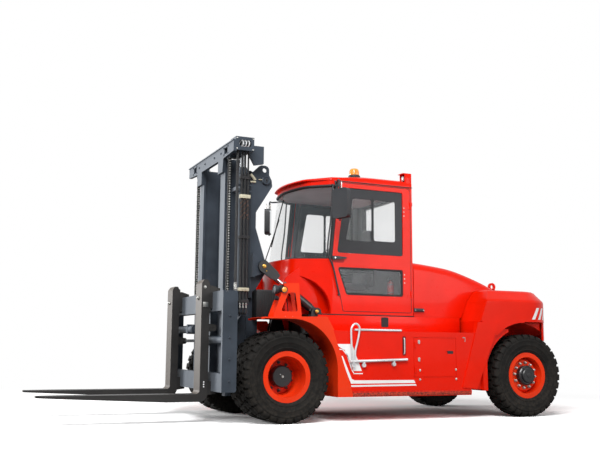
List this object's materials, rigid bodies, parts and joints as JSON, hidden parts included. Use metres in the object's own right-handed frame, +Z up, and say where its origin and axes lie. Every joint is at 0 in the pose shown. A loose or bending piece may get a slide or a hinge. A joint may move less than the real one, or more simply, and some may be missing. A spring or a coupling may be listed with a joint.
{
  "type": "counterbalance forklift",
  "caption": "Heavy counterbalance forklift with closed cab, two-stage mast, sliding forks, dual drive wheels and a steered rear axle.",
  "frame": {"origin": "middle of the overall length and width, on the ground", "axes": "+X ahead towards the forks, +Y to the driver's left, +Z up"},
  "size_m": [6.923, 2.502, 3.455],
  "materials": {
    "body_red": "gloss red-orange paint",
    "trim_orange": "satin orange-red paint",
    "mast_slate": "satin slate paint",
    "fork_black": "black paint",
    "chassis_dark": "dark satin paint",
    "hub_black": "black gloss paint",
    "tyre_rubber": "moulded rubber",
    "hose_rubber": "hose rubber",
    "rod_chrome": "ground and plated",
    "bare_steel": "oiled steel",
    "step_silver": "silver finish",
    "cab_glass": "tinted safety glass",
    "seat_cloth": "woven seat cover",
    "black_plastic": "grained",
    "lamp_plastic": "clear and amber lenses"
  },
  "bodies": {
    "chassis": {"frame": "chassis_dark", "engine_block": "chassis_dark", "front_axle": "chassis_dark", "steer_axle": "chassis_dark", "left_side_box": "body_red", "right_side_box": "body_red", "front_fenders": "trim_orange", "lamp_brackets": "trim_orange", "counterweight": "body_red", "tow_pin": "bare_steel", "cab_shell": "body_red", "cab_glass": "cab_glass", "cab_roof": "body_red", "operator_seat": "seat_cloth", "cab_consoles": "black_plastic", "mirrors": "black_plastic", "lamps": "lamp_plastic", "step_rails": "step_silver"},
    "front_left_wheel": {"front_left_tyres": "tyre_rubber", "front_left_rims": "trim_orange", "front_left_hub": "hub_black"},
    "front_right_wheel": {"front_right_tyres": "tyre_rubber", "front_right_rims": "trim_orange", "front_right_hub": "hub_black"},
    "knuckle_left": {"steer_knuckle_left": "chassis_dark"},
    "knuckle_right": {"steer_knuckle_right": "chassis_dark"},
    "rear_left_wheel": {"rear_left_tyre": "tyre_rubber", "rear_left_rim": "trim_orange", "rear_left_hub": "hub_black"},
    "rear_right_wheel": {"rear_right_tyre": "tyre_rubber", "rear_right_rim": "trim_orange", "rear_right_hub": "hub_black"},
    "engine_hood": {"hood": "body_red"},
    "left_door": {"cab_door_left": "body_red", "door_glass_left": "cab_glass"},
    "right_door": {"cab_door_right": "body_red", "door_glass_right": "cab_glass"},
    "compartment_door": {"side_box_door": "body_red"},
    "steering": {"steering_wheel": "black_plastic"},
    "mast_base": {"outer_mast": "mast_slate", "mast_side_plates": "mast_slate", "cylinder_brackets": "mast_slate", "lift_cylinders": "mast_slate", "mast_hoses": "hose_rubber", "chains_rear": "bare_steel", "hoses_rear": "hose_rubber"},
    "mast_upper": {"inner_mast": "mast_slate", "lift_rods": "rod_chrome", "mast_sheaves": "bare_steel", "chains_front": "bare_steel", "hoses_front": "hose_rubber"},
    "fork_carriage": {"carriage": "mast_slate", "positioner_cylinders": "mast_slate"},
    "left_fork": {"fork_left": "fork_black", "positioner_rod_left": "rod_chrome"},
    "right_fork": {"fork_right": "fork_black", "positioner_rod_right": "rod_chrome"},
    "tilt_barrels": {"tilt_cylinder_barrels": "fork_black"},
    "tilt_rods": {"tilt_cylinder_rods": "rod_chrome"}
  },
  "joints": [
    {"name": "mast_tilt", "type": "hinge", "parent": "chassis", "child": "mast_base", "pos_m": [0.8785, 0, 0.5], "axis": [0, 1, 0], "range_deg": [-12, 6]},
    {"name": "tilt_barrel_swing", "type": "hinge", "parent": "chassis", "child": "tilt_barrels", "pos_m": [0.0785, 0, 1.345], "axis": [0, 1, 0], "range_deg": [-10.9, 5.5]},
    {"name": "tilt_rod_stroke", "type": "slide", "parent": "tilt_barrels", "child": "tilt_rods", "axis": [0.8078, 0, 0.5895], "range_m": [-0.2445, 0.1225]},
    {"name": "mast_lift", "type": "slide", "parent": "mast_base", "child": "mast_upper", "axis": [0, 0, 1], "range_m": [-0.12, 1.6], "deforming": ["chains_rear", "hoses_rear"]},
    {"name": "carriage_lift", "type": "slide", "parent": "mast_upper", "child": "fork_carriage", "axis": [0, 0, 1], "range_m": [-0.12, 1.6], "deforming": ["chains_front", "hoses_front"]},
    {"name": "left_fork_shift", "type": "slide", "parent": "fork_carriage", "child": "left_fork", "axis": [0, 1, 0], "range_m": [-0.44, 0.36]},
    {"name": "right_fork_shift", "type": "slide", "parent": "fork_carriage", "child": "right_fork", "axis": [0, -1, 0], "range_m": [-0.44, 0.36]},
    {"name": "front_left_roll", "type": "hinge", "parent": "chassis", "child": "front_left_wheel", "pos_m": [0.6785, 0.893, 0.545], "axis": [0, 1, 0], "continuous": true},
    {"name": "steer_left", "type": "hinge", "parent": "chassis", "child": "knuckle_left", "pos_m": [-2.8215, 0.93, 0.545], "axis": [0, 0, 1], "range_deg": [-60, 60]},
    {"name": "rear_left_roll", "type": "hinge", "parent": "knuckle_left", "child": "rear_left_wheel", "pos_m": [-2.8215, 1.093, 0.545], "axis": [0, 1, 0], "continuous": true},
    {"name": "left_door_swing", "type": "hinge", "parent": "chassis", "child": "left_door", "pos_m": [-1.3015, 0.758, 2.2], "axis": [0, 0, 1], "range_deg": [0, 85]},
    {"name": "front_right_roll", "type": "hinge", "parent": "chassis", "child": "front_right_wheel", "pos_m": [0.6785, -0.893, 0.545], "axis": [0, 1, 0], "continuous": true},
    {"name": "steer_right", "type": "hinge", "parent": "chassis", "child": "knuckle_right", "pos_m": [-2.8215, -0.93, 0.545], "axis": [0, 0, 1], "range_deg": [-60, 60]},
    {"name": "rear_right_roll", "type": "hinge", "parent": "knuckle_right", "child": "rear_right_wheel", "pos_m": [-2.8215, -1.093, 0.545], "axis": [0, 1, 0], "continuous": true},
    {"name": "right_door_swing", "type": "hinge", "parent": "chassis", "child": "right_door", "pos_m": [-1.3015, -0.758, 2.2], "axis": [0, 0, -1], "range_deg": [0, 85]},
    {"name": "hood_lift", "type": "hinge", "parent": "chassis", "child": "engine_hood", "pos_m": [-2.9375, 0, 1.59], "axis": [0, -1, 0], "range_deg": [0, 45]},
    {"name": "compartment_door_swing", "type": "hinge", "parent": "chassis", "child": "compartment_door", "pos_m": [-1.0735, 1.208, 0.78], "axis": [0, 0, -1], "range_deg": [0, 95]},
    {"name": "steering_wheel_turn", "type": "hinge", "parent": "chassis", "child": "steering", "pos_m": [0.0185, 0, 2.0003], "axis": [-0.4695, 0, 0.8829], "range_deg": [-300, 300]}
  ],
  "couplings": [
    {"joint": "tilt_barrel_swing", "follows": "mast_tilt", "ratio": 0.89},
    {"joint": "tilt_rod_stroke", "follows": "mast_tilt", "m_per_rad": 1.16},
    {"joint": "carriage_lift", "follows": "mast_lift", "ratio": 1},
    {"joint": "steer_right", "follows": "steer_left", "ratio": 1},
    {"joint": "steering_wheel_turn", "follows": "steer_left", "ratio": -5}
  ]
}
